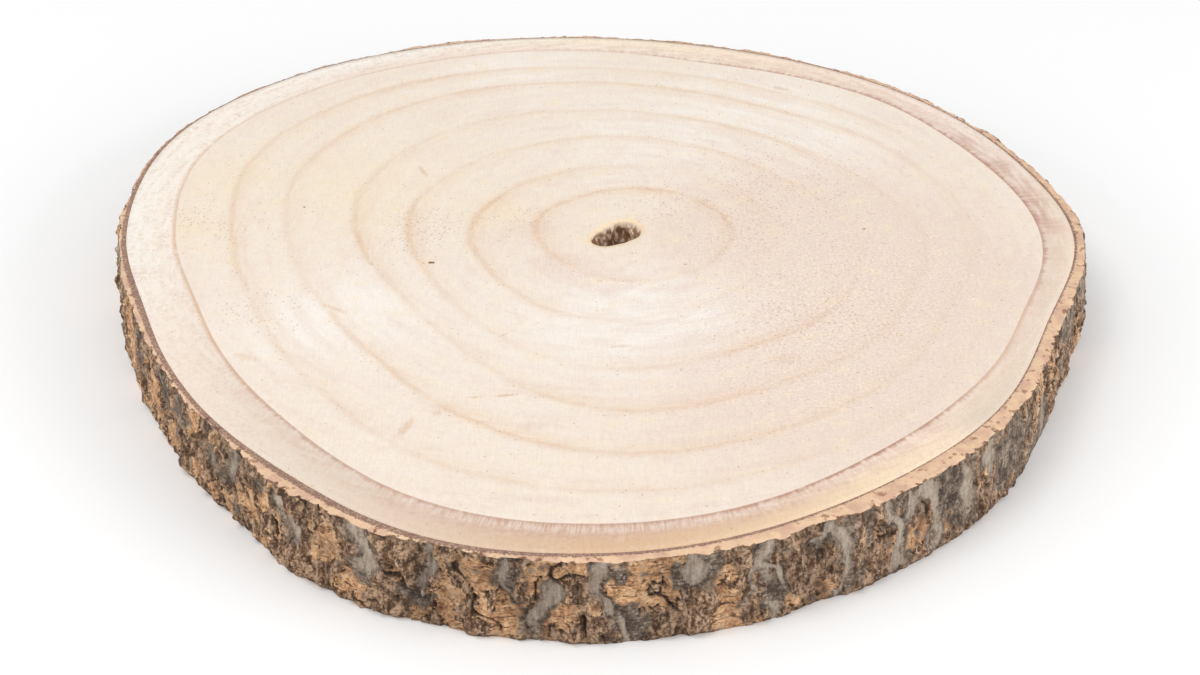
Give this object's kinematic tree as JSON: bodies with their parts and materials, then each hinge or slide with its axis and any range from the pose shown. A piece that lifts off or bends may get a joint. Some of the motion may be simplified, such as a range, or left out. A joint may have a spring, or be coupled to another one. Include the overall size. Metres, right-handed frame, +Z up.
{
  "type": "wood slice",
  "caption": "Round slice sawn across a log, with a pale ringed face, an oval pith hole through the heart and rough bark round the rim.",
  "frame": {"origin": "middle of the footprint's bounding box, on the sawn face that the slice rests on", "axes": "+Z up, out of the shown sawn face; +X to the right and +Y to the back as the slice is seen"},
  "size_m": [0.3012, 0.3146, 0.026],
  "materials": {
    "wood": "sawn, unfinished",
    "bark": "rough, fissured"
  },
  "bodies": {
    "root": {"wood_slice": "wood"}
  },
  "joints": []
}
